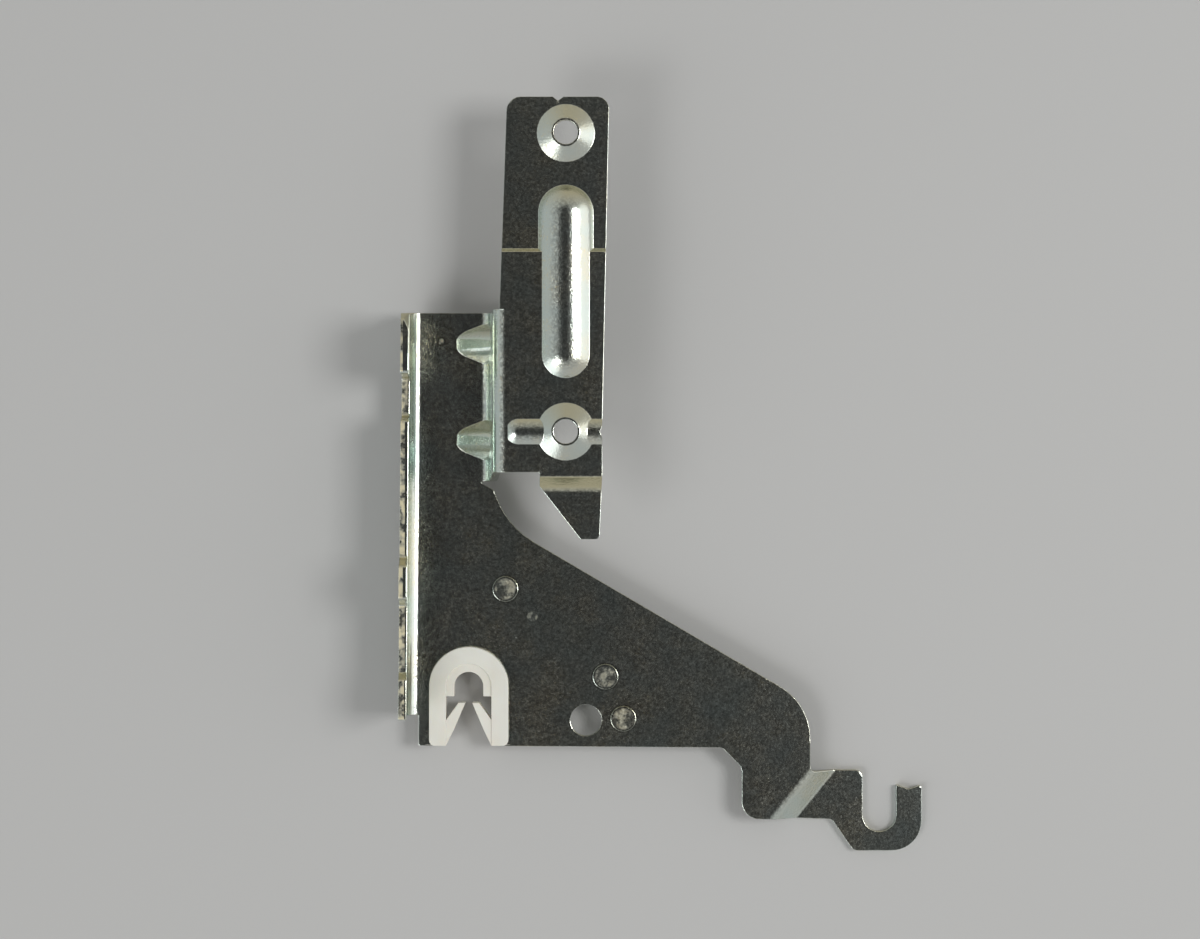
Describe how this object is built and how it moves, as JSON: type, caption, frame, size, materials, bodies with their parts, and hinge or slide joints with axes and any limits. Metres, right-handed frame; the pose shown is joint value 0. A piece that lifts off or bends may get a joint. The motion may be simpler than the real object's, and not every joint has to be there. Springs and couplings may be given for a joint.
{
  "type": "dishwasher door hinge",
  "caption": "Folded steel door hinge with a side channel, a beaded screw arm, a lever that ends in an open hook, and a snap-in plastic pivot bush.",
  "frame": {"origin": "pivot axis, at the level of the web's underside", "axes": "+Z out of the web's front face along the pivot axis, +Y along the channel and the screw arm, +X along the lever towards the hook's side"},
  "size_m": [0.1319, 0.1885, 0.0258],
  "materials": {
    "steel": "zinc plated and passivated, olive to grey, with a coarse orange-peel surface",
    "ivory_plastic": "moulded, smooth, slightly glossy"
  },
  "bodies": {
    "root": {"hinge_bracket": "steel", "pivot_bush": "ivory_plastic"}
  },
  "joints": []
}
